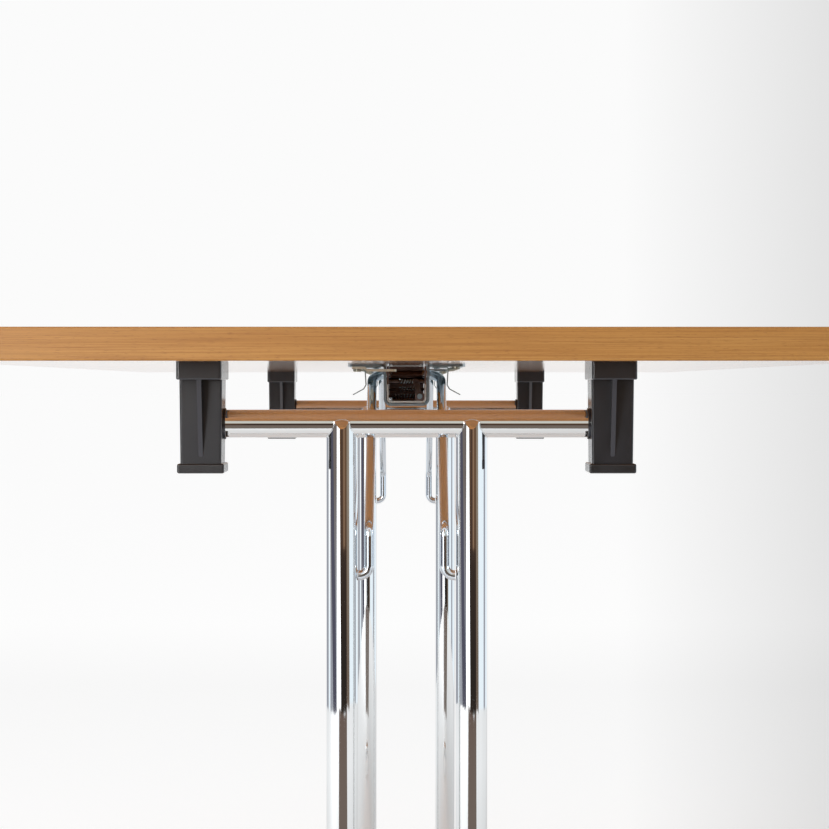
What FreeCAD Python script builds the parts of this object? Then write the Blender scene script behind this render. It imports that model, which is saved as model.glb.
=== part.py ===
import FreeCAD, Part
import math
import os

# A folding conference table on two T-shaped leg frames, in millimetres.
# The origin is on the floor under the middle of the tabletop. X runs across the table,
# Y along it and Z up. "Front" is the end at -Y and "left" is the side at -X.
# Both ends carry the same fitting, turned by half a turn, so one end is drawn once in its
# own frame: there Y is counted from the axle towards the middle of the table and Z from
# the underside of the tabletop, so everything hangs at negative heights.

# Table as a whole
table_length = 1500.0
table_width = 700.0
table_height = 740.0

# Tabletop
board_thickness = 25.0
laminate_thickness = 0.8
edge_band_thickness = 2.0
edge_band_rounding = 1.2

# Fits that several pieces share
running_gap = 0.3
sliding_gap = 0.7
cut_overrun = 2.0

# Axles of the two leg frames
axle_inset = 126.0
axle_drop = 48.0
front_fold_angle = 91.6
rear_fold_angle = 88.4

# Bearing blocks, which also keep stacked tables apart
block_spacing = 320.0
collar_width = 35.0
collar_depth = 78.0
collar_height = 13.6
collar_rounding = 2.0
collar_rim_rounding = 1.2
block_top_width = 33.5
block_top_depth = 42.0
block_bottom_width = 31.8
block_bottom_depth = 40.0
block_drop = 81.8
block_rounding = 1.5
rib_width = 3.5
rib_setback = 1.0
rib_end_drop = 73.7
bore_end_wall = 4.0
block_screw_spread = 18.0
block_screw_recess = 4.0

# Bushes between the blocks and the cross tube
bush_wall = 1.0
bush_proud = 1.5
axle_end_gap = 0.5

# Stacking pads pushed over the lower ends of the blocks
pad_width = 36.6
pad_depth = 46.0
pad_height = 7.6
pad_overlap = 3.0
pad_rounding = 1.5

# Wood screws
block_screw_head_diameter = 8.6
block_screw_head_height = 2.8
block_screw_diameter = 4.2
block_screw_length = 26.0
rail_screw_head_diameter = 7.4
rail_screw_head_height = 2.4
rail_screw_diameter = 3.6
rail_screw_length = 17.0
screw_head_chamfer = 0.7
screw_tip_length = 4.0

# Leg frame
cross_tube_diameter = 22.0
cross_tube_wall = 1.5
column_diameter = 25.0
column_wall = 2.0
column_spacing = 101.4
saddle_rise = 3.4
saddle_bevel_drop = 4.2
saddle_lip = 0.35
pivot_hole_gap = 0.3

# Foot
foot_length = 600.0
foot_tube_diameter = 28.0
foot_tube_wall = 2.0
foot_rise = 18.0
foot_end_height = 26.0
cap_rim = 2.0
cap_dome = 4.0
cap_plug = 14.0
cap_plug_wall = 2.0
cap_fit_gap = 0.1

# Levelling glides
glide_inset = 35.0
glide_pad_diameter = 30.0
glide_pad_rim = 3.0
glide_pad_height = 14.2
glide_neck_diameter = 17.0
glide_neck_height = 3.5
glide_floor = 4.0
stem_diameter = 8.0
stem_length = 33.0
insert_diameter = 12.0
insert_flange_diameter = 17.0
insert_flange = 1.5
insert_height = 16.0

# Strut, one bent rod with a crossbar at its top
rod_diameter = 8.0
strut_spacing = 59.2
pivot_drop = 119.2
strut_upright = 37.5
strut_bend_radius = 12.0
strut_corner_radius = 10.0
hook_stub = 0.5
crossbar_drop = 9.0
crossbar_reach = 190.0

# Guide rail, a hat section screwed under the tabletop
rail_sheet = 2.0
rail_width = 39.2
rail_depth = 35.5
rail_flange_span = 100.0
rail_start = 172.0
rail_flange_lead = 12.0
rail_end = 424.0
rail_bend_radius = 5.0
rail_flange_bend_radius = 2.0
rail_corner_rounding = 4.0
rail_screw_offset = 42.0
rail_screw_inset = 6.0
rail_screws_a_side = 4
rail_slot_gap = 0.6

# Stop tab across the mouth of the rail
stop_tab_sheet = 2.0
stop_tab_width = 10.0
stop_tab_step = 2.2
stop_tab_outer = 46.5
stop_tab_bend = 36.0
stop_tab_bend_run = 2.5
stop_tab_tip = 8.5

# Spring clips that take the folded strut between them
clip_sheet = 0.8
clip_width = 14.0
clip_lead = 4.0
clip_foot = 22.0
clip_arm_top = 35.8
clip_pinch = 34.8
clip_pinch_drop = 17.5
clip_flare_start = 36.8
clip_flare_start_drop = 21.0
clip_flare_tip = 46.0
clip_flare_tip_drop = 26.0
clip_bend_radius = 1.4
clip_rivet_offset = 26.0
clip_rivet_diameter = 3.0
clip_rivet_head_diameter = 5.2
clip_rivet_head = 1.2

# Latch carriage, which slides in the rail
carriage_sheet = 1.5
carriage_bend_radius = 3.0
carriage_wall_drop = 17.0
carriage_nose = 16.0
carriage_tail = 50.0
ear_top_drop = 1.5
ear_lead = 13.0
ear_tail = 9.0
ear_rounding = 3.0
lug_width = 8.0
lug_height = 6.5

# Lock bolts and their spring
bolt_diameter = 4.0
bolt_drop = 14.6
bolt_lead = 9.0
bolt_spigot_diameter = 1.8
bolt_spigot_length = 4.5
bolt_gap = 0.2
lock_hole_gap = 0.4
bolt_pin_diameter = 1.5
bolt_pin_inset = 1.6
bolt_pin_length = 3.0

# Springs on the carriage
lock_spring_length = 12.4
spring_diameter = 4.2
spring_wire = 0.7
lock_spring_turns = 5
rod_spring_turns = 5
return_spring_turns = 8
middle_rod_drop = 21.2
middle_rod_lag = 6.0
lower_rod_drop = 27.4
lower_rod_lag = 20.0
spring_rod_diameter = 2.4
rod_spring_length = 12.4
return_spring_length = 22.0

# Release lever that draws the bolts
lever_sheet = 1.5
lever_lead = 13.6
lever_pivot_offset = 11.2
lever_pivot_drop = 27.4
lever_width = 5.0
lever_slot_extra = 1.3
lever_slot_gap = 0.35
lever_finger_length = 9.0
lever_finger_height = 5.0
lever_rivet_diameter = 2.6
lever_rivet_head_diameter = 4.6
lever_rivet_head = 1.0

# Sizes worked out from those above
underside = table_height - board_thickness
axle_offset = table_length / 2 - axle_inset
floor_drop = -underside
axle_height = -axle_drop
block_offset = block_spacing / 2
column_offset = column_spacing / 2
strut_offset = strut_spacing / 2
bore_end = block_offset + block_bottom_width / 2 - bore_end_wall
bush_outer_radius = cross_tube_diameter / 2 + running_gap + bush_wall
pivot_height = axle_height - pivot_drop
crossbar_height = -crossbar_drop
hook_end = column_offset - column_diameter / 2 - running_gap
foot_crown_height = floor_drop + foot_end_height + foot_rise
foot_arch_radius = foot_length ** 2 / (8 * foot_rise) + foot_rise / 2
foot_arch_centre = foot_crown_height - foot_arch_radius
glide_offset = foot_length / 2 - glide_inset
carriage_width = rail_width - 2 * rail_sheet - 2 * sliding_gap
carriage_floor = -(rail_depth - rail_sheet - sliding_gap)
bolt_height = -bolt_drop

x_axis = FreeCAD.Vector(1, 0, 0)
y_axis = FreeCAD.Vector(0, 1, 0)
z_axis = FreeCAD.Vector(0, 0, 1)


def box_between(x0, x1, y0, y1, z0, z1):
    return Part.makeBox(x1 - x0, y1 - y0, z1 - z0, FreeCAD.Vector(x0, y0, z0))


def rod_between(start, end, diameter):
    run = end - start
    return Part.makeCylinder(diameter / 2, run.Length, start, run)


def turned(shape):
    """The same piece after half a turn about the upright axis."""
    copy = shape.copy()
    copy.rotate(FreeCAD.Vector(0, 0, 0), z_axis, 180)
    return copy


def at_front(shape):
    copy = shape.copy()
    copy.translate(FreeCAD.Vector(0, -axle_offset, underside))
    return copy


def at_rear(shape):
    copy = turned(shape)
    copy.translate(FreeCAD.Vector(0, axle_offset, underside))
    return copy


def save(name, shapes):
    """Write one node; several shapes become one node of separate solids."""
    shape = shapes[0] if len(shapes) == 1 else Part.makeCompound(shapes)
    shape.exportStep("parts/" + name + ".step")


def upright_edges(shape):
    return [edge for edge in shape.Edges
            if abs(edge.tangentAt(edge.FirstParameter).z) > 0.9]


def edges_along_x(shape):
    return [edge for edge in shape.Edges
            if abs(edge.tangentAt(edge.FirstParameter).x) > 0.9]


def edges_along_y(shape):
    return [edge for edge in shape.Edges
            if abs(edge.tangentAt(edge.FirstParameter).y) > 0.9]


def rounded_path(points, radii):
    """Straight runs between the points, joined by tangent arcs at the inner ones."""
    edges = []
    start = points[0]
    for before, corner, after, radius in zip(points, points[1:], points[2:], radii):
        into = (corner - before).normalize()
        out = (after - corner).normalize()
        half_turn = into.getAngle(out) / 2
        set_back = radius * math.tan(half_turn)
        arc_start = corner - into * set_back
        arc_end = corner + out * set_back
        inward = (out - into).normalize()
        middle = corner + inward * (radius / math.cos(half_turn) - radius)
        edges.append(Part.LineSegment(start, arc_start).toShape())
        edges.append(Part.Arc(arc_start, middle, arc_end).toShape())
        start = arc_end
    edges.append(Part.LineSegment(start, points[-1]).toShape())
    return edges


def offset_points(points, distance):
    """Points of a line in the XZ plane, moved to its left by a distance."""
    runs = [(end - start).normalize() for start, end in zip(points, points[1:])]
    lefts = [FreeCAD.Vector(-run.z, 0, run.x) for run in runs]
    moved = [points[0] + lefts[0] * distance]
    for point, left, next_left in zip(points[1:], lefts, lefts[1:]):
        moved.append(point + (left + next_left) * (distance / (1 + left.dot(next_left))))
    moved.append(points[-1] + lefts[-1] * distance)
    return moved


def folded_sheet(points, radii, sheet, y_start, y_end):
    """Sheet metal bent along a middle line in the XZ plane, with a radius for each bend."""
    signs = []
    for before, corner, after in zip(points, points[1:], points[2:]):
        left_turn = (corner - before).cross(after - corner).y < 0
        signs.append(-1 if left_turn else 1)
    sides = []
    for side in (1, -1):
        side_radii = [radius + side * sign * sheet / 2 for radius, sign in zip(radii, signs)]
        sides.append(rounded_path(offset_points(points, side * sheet / 2), side_radii))
    left, right = sides
    ends = [Part.LineSegment(left[0].firstVertex().Point, right[0].firstVertex().Point),
            Part.LineSegment(left[-1].lastVertex().Point, right[-1].lastVertex().Point)]
    edges = left + right + [end.toShape() for end in ends]
    section = Part.Face(Part.Wire(Part.__sortEdges__(edges)))
    section.translate(FreeCAD.Vector(0, y_start, 0))
    return section.extrude(FreeCAD.Vector(0, y_end - y_start, 0))


def revolved(points, start, direction):
    """Solid turned from a closed outline given as (radius, height) pairs."""
    corners = [FreeCAD.Vector(radius, 0, height) for radius, height in points]
    outline = Part.makePolygon(corners + corners[:1])
    solid = Part.Face(outline).revolve(FreeCAD.Vector(0, 0, 0), z_axis, 360)
    solid.Placement = FreeCAD.Placement(start, FreeCAD.Rotation(z_axis, direction))
    return solid


def screw(head_seat, head_diameter, head_height, diameter, length):
    """Wood screw pointing up, with its head under the given point."""
    head = head_diameter / 2
    shank = diameter / 2
    outline = [(0, -head_height),
               (head - screw_head_chamfer, -head_height),
               (head, screw_head_chamfer - head_height),
               (head, 0),
               (shank, 0),
               (shank, length - screw_tip_length),
               (0, length)]
    return revolved(outline, head_seat, z_axis)


# Bearing blocks

def block_body():
    """Moulded body that narrows a little from the collar to its lower end."""
    def rectangle(width, depth, height):
        corners = [FreeCAD.Vector(block_offset + x * width / 2, y * depth / 2, height)
                   for x, y in ((-1, -1), (1, -1), (1, 1), (-1, 1))]
        return Part.makePolygon(corners + corners[:1])

    body = Part.makeLoft([rectangle(block_top_width, block_top_depth, 0),
                          rectangle(block_bottom_width, block_bottom_depth, -block_drop)],
                         True, True)
    return body.makeFillet(block_rounding, upright_edges(body))


def block_collar():
    collar = box_between(block_offset - collar_width / 2, block_offset + collar_width / 2,
                         -collar_depth / 2, collar_depth / 2, -collar_height, 0)
    collar = collar.makeFillet(collar_rounding, upright_edges(collar))
    rim = [edge for edge in collar.Edges if edge.BoundBox.ZMax < -collar_height / 2]
    return collar.makeFillet(collar_rim_rounding, rim)


def block_rib():
    """Gussets in front and behind that taper from the collar into the body."""
    reach = collar_depth / 2 - rib_setback
    foot = block_bottom_depth / 2
    outline = [FreeCAD.Vector(block_offset - rib_width / 2, y, z)
               for y, z in ((-reach, -collar_height / 2), (reach, -collar_height / 2),
                            (reach, -collar_height), (foot, -rib_end_drop),
                            (-foot, -rib_end_drop), (-reach, -collar_height))]
    web = Part.Face(Part.makePolygon(outline + outline[:1]))
    web = web.extrude(FreeCAD.Vector(rib_width, 0, 0))
    tip_height = rib_width / 2 - rib_end_drop
    bar = box_between(block_offset - rib_width / 2, block_offset + rib_width / 2,
                      -reach, reach, tip_height, 0)
    tip = rod_between(FreeCAD.Vector(block_offset, -reach, tip_height),
                      FreeCAD.Vector(block_offset, reach, tip_height), rib_width)
    return web.common(bar.fuse(tip))


def block_screw_places():
    screw_row = (collar_depth + block_top_depth) / 4
    return [FreeCAD.Vector(block_offset + x * block_screw_spread / 2, y * screw_row,
                           block_screw_recess - collar_height)
            for x in (-1, 1) for y in (-1, 1)]


def block_screws():
    return [screw(place, block_screw_head_diameter, block_screw_head_height,
                  block_screw_diameter, block_screw_length)
            for place in block_screw_places()]


def bearing_block():
    block = block_body().fuse([block_collar(), block_rib()])
    bore = rod_between(FreeCAD.Vector(block_offset - block_top_width, 0, axle_height),
                       FreeCAD.Vector(bore_end, 0, axle_height), 2 * bush_outer_radius)
    tools = [bore]
    for place in block_screw_places():
        below = place - z_axis * (block_screw_recess + cut_overrun)
        above = place + z_axis * collar_height
        tools.append(rod_between(below, place, block_screw_head_diameter + 2 * running_gap))
        tools.append(rod_between(place, above, block_screw_diameter))
    return block.cut(tools).removeSplitter()


def axle_bush():
    start = block_offset - block_top_width / 2 - bush_proud
    sleeve = rod_between(FreeCAD.Vector(start, 0, axle_height),
                         FreeCAD.Vector(bore_end, 0, axle_height), 2 * bush_outer_radius)
    bore = rod_between(FreeCAD.Vector(start - cut_overrun, 0, axle_height),
                       FreeCAD.Vector(bore_end + cut_overrun, 0, axle_height),
                       cross_tube_diameter + 2 * running_gap)
    return sleeve.cut(bore)


def stacking_pad():
    pad = box_between(block_offset - pad_width / 2, block_offset + pad_width / 2,
                      -pad_depth / 2, pad_depth / 2,
                      pad_overlap - pad_height - block_drop, pad_overlap - block_drop)
    pad = pad.makeFillet(pad_rounding, pad.Edges)
    return pad.cut(block_body())


# Leg frame

def cross_tube():
    end = bore_end - axle_end_gap
    outer = rod_between(FreeCAD.Vector(-end, 0, axle_height),
                        FreeCAD.Vector(end, 0, axle_height), cross_tube_diameter)
    inner = rod_between(FreeCAD.Vector(-end - cut_overrun, 0, axle_height),
                        FreeCAD.Vector(end + cut_overrun, 0, axle_height),
                        cross_tube_diameter - 2 * cross_tube_wall)
    return outer, outer.cut(inner)


def arched_rod(diameter):
    """Round bar along the arched middle line of the foot."""
    half_angle = math.degrees(math.asin(foot_length / 2 / foot_arch_radius))
    circle = Part.Circle(FreeCAD.Vector(0, 0, foot_crown_height), x_axis, diameter / 2)
    section = Part.Face(Part.Wire(circle.toShape()))
    centre = FreeCAD.Vector(0, 0, foot_arch_centre)
    section.rotate(centre, y_axis, -half_angle)
    return section.revolve(centre, y_axis, 2 * half_angle)


def foot_arch_height(offset):
    return foot_arch_centre + math.sqrt(foot_arch_radius ** 2 - offset ** 2)


def foot_tube():
    tube = arched_rod(foot_tube_diameter).cut(arched_rod(foot_tube_diameter - 2 * foot_tube_wall))
    for x in (-glide_offset, glide_offset):
        tube = tube.cut(rod_between(FreeCAD.Vector(x, 0, floor_drop),
                                    FreeCAD.Vector(x, 0, foot_arch_height(x)), insert_diameter))
    return tube


def glide_insert(tube):
    """Threaded insert let into the underside of the right half of the foot."""
    seat = floor_drop + glide_pad_height + running_gap
    flange_top = foot_arch_height(glide_offset) - foot_tube_diameter / 2 + insert_flange
    flange = rod_between(FreeCAD.Vector(glide_offset, 0, seat),
                         FreeCAD.Vector(glide_offset, 0, flange_top), insert_flange_diameter)
    barrel = rod_between(FreeCAD.Vector(glide_offset, 0, seat),
                         FreeCAD.Vector(glide_offset, 0, seat + insert_height), insert_diameter)
    thread = rod_between(FreeCAD.Vector(glide_offset, 0, seat - cut_overrun),
                         FreeCAD.Vector(glide_offset, 0, seat + insert_height + cut_overrun),
                         stem_diameter + 2 * running_gap)
    return flange.fuse(barrel).cut(tube).cut(thread)


def foot_cap():
    """Domed plug for the right end of the foot."""
    radius = foot_tube_diameter / 2
    bore = radius - foot_tube_wall - cap_fit_gap
    end_angle = math.degrees(math.asin(foot_length / 2 / foot_arch_radius))
    ball_radius = (radius ** 2 + cap_dome ** 2) / (2 * cap_dome)
    ball = Part.makeSphere(ball_radius, FreeCAD.Vector(cap_rim + cap_dome - ball_radius, 0, 0))
    head = rod_between(FreeCAD.Vector(0, 0, 0), FreeCAD.Vector(cap_rim + cap_dome, 0, 0),
                       foot_tube_diameter).common(ball)
    plug = rod_between(FreeCAD.Vector(-cap_plug, 0, 0), FreeCAD.Vector(0, 0, 0), 2 * bore)
    hollow = rod_between(FreeCAD.Vector(-cap_plug - cut_overrun, 0, 0),
                         FreeCAD.Vector(0, 0, 0), 2 * (bore - cap_plug_wall))
    cap = head.fuse(plug.cut(hollow))
    cap.rotate(FreeCAD.Vector(0, 0, 0), y_axis, end_angle)
    cap.translate(FreeCAD.Vector(foot_length / 2, 0, foot_arch_height(foot_length / 2)))
    return cap


def saddle_bevel(side):
    """Wedge that thins one tongue of the right column's top down to the cross tube."""
    radius = column_diameter / 2
    lip = math.sqrt((cross_tube_diameter / 2) ** 2 - saddle_rise ** 2) + saddle_lip
    above = saddle_rise + cut_overrun
    beyond = radius + cut_overrun
    outline = [FreeCAD.Vector(column_offset - radius, side * y, axle_height + z)
               for y, z in ((radius, -saddle_bevel_drop), (lip, saddle_rise), (lip, above),
                            (beyond, above), (beyond, -saddle_bevel_drop))]
    wedge = Part.Face(Part.makePolygon(outline + outline[:1]))
    return wedge.extrude(FreeCAD.Vector(column_diameter, 0, 0))


def column():
    """Right-hand column, coped round the cross tube above and the foot below."""
    radius = column_diameter / 2
    tube_radius = cross_tube_diameter / 2
    top = axle_height + saddle_rise
    bottom = foot_arch_height(column_offset)
    pipe = rod_between(FreeCAD.Vector(column_offset, 0, bottom),
                       FreeCAD.Vector(column_offset, 0, top), column_diameter)
    bore = rod_between(FreeCAD.Vector(column_offset, 0, bottom - cut_overrun),
                       FreeCAD.Vector(column_offset, 0, top + cut_overrun),
                       column_diameter - 2 * column_wall)
    # The rounded top passes through the crown of the saddle and the tube's lower edge
    round_drop = ((radius ** 2 + tube_radius ** 2 - saddle_rise ** 2)
                  / (2 * (saddle_rise + tube_radius)))
    round_height = axle_height - round_drop
    above = box_between(column_offset - column_diameter, column_offset + column_diameter,
                        -column_diameter, column_diameter, round_height, top + cut_overrun)
    dome = rod_between(FreeCAD.Vector(column_offset, -2 * column_diameter, round_height),
                       FreeCAD.Vector(column_offset, 2 * column_diameter, round_height),
                       2 * (saddle_rise + round_drop))
    pivot_hole = rod_between(FreeCAD.Vector(hook_end - cut_overrun, 0, pivot_height),
                             FreeCAD.Vector(column_offset, 0, pivot_height),
                             rod_diameter + 2 * pivot_hole_gap)
    return pipe.cut([bore, above.cut(dome), saddle_bevel(-1), saddle_bevel(1), cross_tube()[0],
                     arched_rod(foot_tube_diameter), pivot_hole])


def glide_pad():
    """Plastic pad under the right half of the foot, with a socket for the stem."""
    rim = glide_pad_diameter / 2
    neck = glide_neck_diameter / 2
    socket = stem_diameter / 2
    outline = [(0, 0), (rim - glide_pad_rim / 2, 0), (rim, glide_pad_rim / 2), (rim, glide_pad_rim),
               (neck, glide_pad_height - glide_neck_height), (neck, glide_pad_height),
               (socket, glide_pad_height), (socket, glide_floor), (0, glide_floor)]
    return revolved(outline, FreeCAD.Vector(glide_offset, 0, floor_drop), z_axis)


def glide_stem():
    start = FreeCAD.Vector(glide_offset, 0, floor_drop + glide_floor)
    return rod_between(start, start + z_axis * stem_length, stem_diameter)


# Strut

def strut():
    """One rod: a hook into each column, an upright, a sloping run and the crossbar."""
    bend = FreeCAD.Vector(strut_offset, 0, pivot_height + strut_upright)
    half = [FreeCAD.Vector(hook_end, 0, pivot_height),
            FreeCAD.Vector(strut_offset, 0, pivot_height),
            bend,
            FreeCAD.Vector(strut_offset, crossbar_reach, crossbar_height)]
    mirrored = [FreeCAD.Vector(-point.x, point.y, point.z) for point in reversed(half)]
    hook_radius = hook_end - strut_offset - hook_stub
    radii = [hook_radius, strut_bend_radius, strut_corner_radius]
    path = Part.Wire(rounded_path(half + mirrored, radii + radii[::-1]))
    circle = Part.Circle(half[0], x_axis, rod_diameter / 2)
    return path.makePipeShell([Part.Wire(circle.toShape())], True, False)


def folded_reach(fold_angle):
    """How far the crossbar lies from the axle once the leg is folded to an angle."""
    angle = math.radians(fold_angle)
    crossbar_rise = axle_drop - crossbar_drop
    length = math.hypot(crossbar_reach, pivot_drop + crossbar_rise)
    pivot_reach = pivot_drop * math.sin(angle)
    pivot_rise = -pivot_drop * math.cos(angle)
    return pivot_reach + math.sqrt(length ** 2 - (crossbar_rise - pivot_rise) ** 2)


# Guide rail and what is screwed or riveted on with it

def rail_screw_places():
    first = rail_start - rail_flange_lead + rail_screw_inset
    step = (rail_end - rail_screw_inset - first) / (rail_screws_a_side - 1)
    places = [FreeCAD.Vector(x, first + number * step, -rail_sheet)
              for x in (-rail_screw_offset, rail_screw_offset)
              for number in range(rail_screws_a_side)]
    places[0].z -= stop_tab_sheet
    return places


def rail_screws():
    return [screw(place, rail_screw_head_diameter, rail_screw_head_height,
                  rail_screw_diameter, rail_screw_length)
            for place in rail_screw_places()]


def rail_screw_holes():
    return [rod_between(place - z_axis * cut_overrun, place + z_axis * rail_screw_length,
                        rail_screw_diameter)
            for place in rail_screw_places()]


def clip_rivet_places():
    middle = rail_start + clip_lead + clip_width / 2
    return [FreeCAD.Vector(x, middle, 0) for x in (-clip_rivet_offset, clip_rivet_offset)]


def guide_rail(fold_angle):
    """Hat section with slots for the crossbar and holes that the lock bolts spring into."""
    outer = rail_flange_span / 2
    wall = (rail_width - rail_sheet) / 2
    half = rail_sheet / 2
    front = rail_start - rail_flange_lead
    line = [FreeCAD.Vector(x, 0, z)
            for x, z in ((-outer, -half), (-wall, -half), (-wall, half - rail_depth),
                         (wall, half - rail_depth), (wall, -half), (outer, -half))]
    radii = [rail_flange_bend_radius, rail_bend_radius, rail_bend_radius, rail_flange_bend_radius]
    rail = folded_sheet(line, radii, rail_sheet, front, rail_end)
    corners = [edge for edge in upright_edges(rail)
               if abs(edge.BoundBox.Center.x) > (outer + wall) / 2]
    rail = rail.makeFillet(rail_corner_rounding, corners)

    mouth = rail_width / 2 + rail_flange_bend_radius
    slot_height = rod_diameter + 2 * rail_slot_gap
    slot_ends = (crossbar_reach, folded_reach(fold_angle))
    tools = [box_between(-mouth, mouth, front - cut_overrun, rail_start,
                         -rail_depth - cut_overrun, cut_overrun),
             box_between(-rail_width, rail_width, slot_ends[0], slot_ends[1],
                         crossbar_height - slot_height / 2, crossbar_height + slot_height / 2)]
    for reach in slot_ends:
        tools.append(rod_between(FreeCAD.Vector(-rail_width, reach, crossbar_height),
                                 FreeCAD.Vector(rail_width, reach, crossbar_height),
                                 slot_height))
        tools.append(rod_between(FreeCAD.Vector(-rail_width, reach - bolt_lead, bolt_height),
                                 FreeCAD.Vector(rail_width, reach - bolt_lead, bolt_height),
                                 bolt_diameter + 2 * lock_hole_gap))
    for place in clip_rivet_places():
        tools.append(rod_between(place - z_axis * (rail_sheet + cut_overrun),
                                 place + z_axis * cut_overrun, clip_rivet_diameter))
    return rail.cut(tools + rail_screw_holes())


def stop_tab():
    """Tab across the mouth of the rail, held by the first screw of one flange."""
    upper = -rail_sheet - stop_tab_sheet / 2
    lower = upper - stop_tab_step
    line = [FreeCAD.Vector(-x, 0, z)
            for x, z in ((stop_tab_outer, upper), (stop_tab_bend, upper),
                         (stop_tab_bend - stop_tab_bend_run, lower), (stop_tab_tip, lower))]
    middle = rail_start - rail_flange_lead + rail_screw_inset
    tab = folded_sheet(line, [stop_tab_sheet, stop_tab_sheet], stop_tab_sheet,
                       middle - stop_tab_width / 2, middle + stop_tab_width / 2)
    tip = [edge for edge in upright_edges(tab) if edge.BoundBox.XMax > -2 * stop_tab_tip]
    return tab.makeFillet(stop_tab_width / 4, tip).cut(rail_screw_holes())


def spring_clip():
    """Right-hand clip: a foot under the flange and an arm pinched in above a flared tip."""
    foot_height = -rail_sheet - clip_sheet / 2
    line = [FreeCAD.Vector(x, 0, z)
            for x, z in ((clip_foot, foot_height), (clip_arm_top, foot_height),
                         (clip_pinch, -clip_pinch_drop),
                         (clip_flare_start, -clip_flare_start_drop),
                         (clip_flare_tip, -clip_flare_tip_drop))]
    start = rail_start + clip_lead
    clip = folded_sheet(line, [clip_bend_radius] * 3, clip_sheet, start, start + clip_width)
    return clip.cut(clip_rivet())


def clip_rivet():
    head_seat = clip_rivet_places()[1] - z_axis * (rail_sheet + clip_sheet)
    head = rod_between(head_seat - z_axis * clip_rivet_head, head_seat, clip_rivet_head_diameter)
    rim = [edge for edge in head.Edges if edge.BoundBox.ZMax < head_seat.z - clip_rivet_head / 2]
    head = head.makeFillet(clip_rivet_head / 2, rim)
    return head.fuse(rod_between(head_seat, clip_rivet_places()[1], clip_rivet_diameter))


def mirrored(shape):
    return shape.mirror(FreeCAD.Vector(0, 0, 0), x_axis)


# Latch carriage

def cross_hole(reach, height, diameter):
    """Tool that bores both side walls of the carriage at once."""
    return rod_between(FreeCAD.Vector(-carriage_width, reach, height),
                       FreeCAD.Vector(carriage_width, reach, height), diameter)


def carriage_back():
    """Tab folded up from the floor of the carriage, widened to close its tail."""
    back = crossbar_reach + carriage_tail
    floor_middle = carriage_floor + carriage_sheet / 2
    bend_width = carriage_width - 2 * (carriage_sheet + carriage_bend_radius)
    line = [FreeCAD.Vector(back - carriage_tail / 2, 0, floor_middle),
            FreeCAD.Vector(back - carriage_sheet / 2, 0, floor_middle),
            FreeCAD.Vector(back - carriage_sheet / 2, 0, -ear_top_drop)]
    tab = folded_sheet(line, [carriage_bend_radius], carriage_sheet,
                       -bend_width / 2, bend_width / 2)
    tab.rotate(FreeCAD.Vector(0, 0, 0), z_axis, 90)
    inner = carriage_width / 2 - carriage_sheet - running_gap
    wide = box_between(-inner, inner, back - carriage_sheet, back,
                       carriage_floor + carriage_sheet + carriage_bend_radius, -ear_top_drop)
    return tab.fuse(wide)


def latch_carriage():
    """Inner channel with raised ears for the crossbar and a lug for the lever's rivet."""
    wall = (carriage_width - carriage_sheet) / 2
    floor_middle = carriage_floor + carriage_sheet / 2
    line = [FreeCAD.Vector(x, 0, z)
            for x, z in ((-wall, -ear_top_drop), (-wall, floor_middle),
                         (wall, floor_middle), (wall, -ear_top_drop))]
    front = crossbar_reach - carriage_nose
    back = crossbar_reach + carriage_tail
    channel = folded_sheet(line, [carriage_bend_radius] * 2, carriage_sheet, front, back)
    ear_front = crossbar_reach - ear_lead
    ear_back = crossbar_reach + ear_tail
    for start, end in ((front - cut_overrun, ear_front), (ear_back, back + cut_overrun)):
        channel = channel.cut(box_between(-carriage_width, carriage_width, start, end,
                                          -carriage_wall_drop, cut_overrun))
    corners = [edge for edge in edges_along_x(channel)
               if edge.BoundBox.ZMin > -ear_top_drop - ear_rounding]
    channel = channel.makeFillet(ear_rounding, corners)

    lug_front = crossbar_reach - lever_lead + lever_sheet + running_gap
    lug = box_between(lever_pivot_offset - lug_width / 2, wall, lug_front,
                      lug_front + carriage_sheet, floor_middle,
                      carriage_floor + carriage_sheet + lug_height)
    tools = [cross_hole(crossbar_reach, crossbar_height, rod_diameter + 2 * running_gap),
             cross_hole(crossbar_reach - bolt_lead, bolt_height,
                        bolt_diameter + 2 * running_gap),
             cross_hole(crossbar_reach + middle_rod_lag, -middle_rod_drop, spring_rod_diameter),
             cross_hole(crossbar_reach + lower_rod_lag, -lower_rod_drop, spring_rod_diameter),
             lever_rivet()]
    return channel.fuse([lug, carriage_back()]).cut(tools).removeSplitter()


def spring_rod(lag, drop):
    half = FreeCAD.Vector(carriage_width / 2, 0, 0)
    middle = FreeCAD.Vector(0, crossbar_reach + lag, -drop)
    return rod_between(middle - half, middle + half, spring_rod_diameter)


def biarc(start, start_way, end, end_way):
    """Two tangent arcs that leave one point and reach the next in the given directions."""
    chord = end - start
    along = chord.dot(start_way + end_way)
    spread = 2 * (1 - start_way.dot(end_way))
    arm = (math.sqrt(along ** 2 + spread * chord.dot(chord)) - along) / spread
    joint = (start + end + (start_way - end_way) * arm) / 2
    arcs = []
    for first, corner, last in ((start, start + start_way * arm, joint),
                                (joint, end - end_way * arm, end)):
        half_chord = (last - first).Length / 2
        middle = (first + last) / 2
        crown = middle + (corner - middle) * (half_chord / (arm + half_chord))
        arcs.append(Part.Arc(first, crown, last).toShape())
    return arcs


def least_gap(path):
    """Smallest space between two turns, measured on the ends of the arcs of the path."""
    points = [vertex.Point for vertex in path.OrderedVertexes]
    nearest = min((point - other).Length
                  for number, point in enumerate(points)
                  for other in points[number + 2:])
    return nearest - spring_wire


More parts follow.
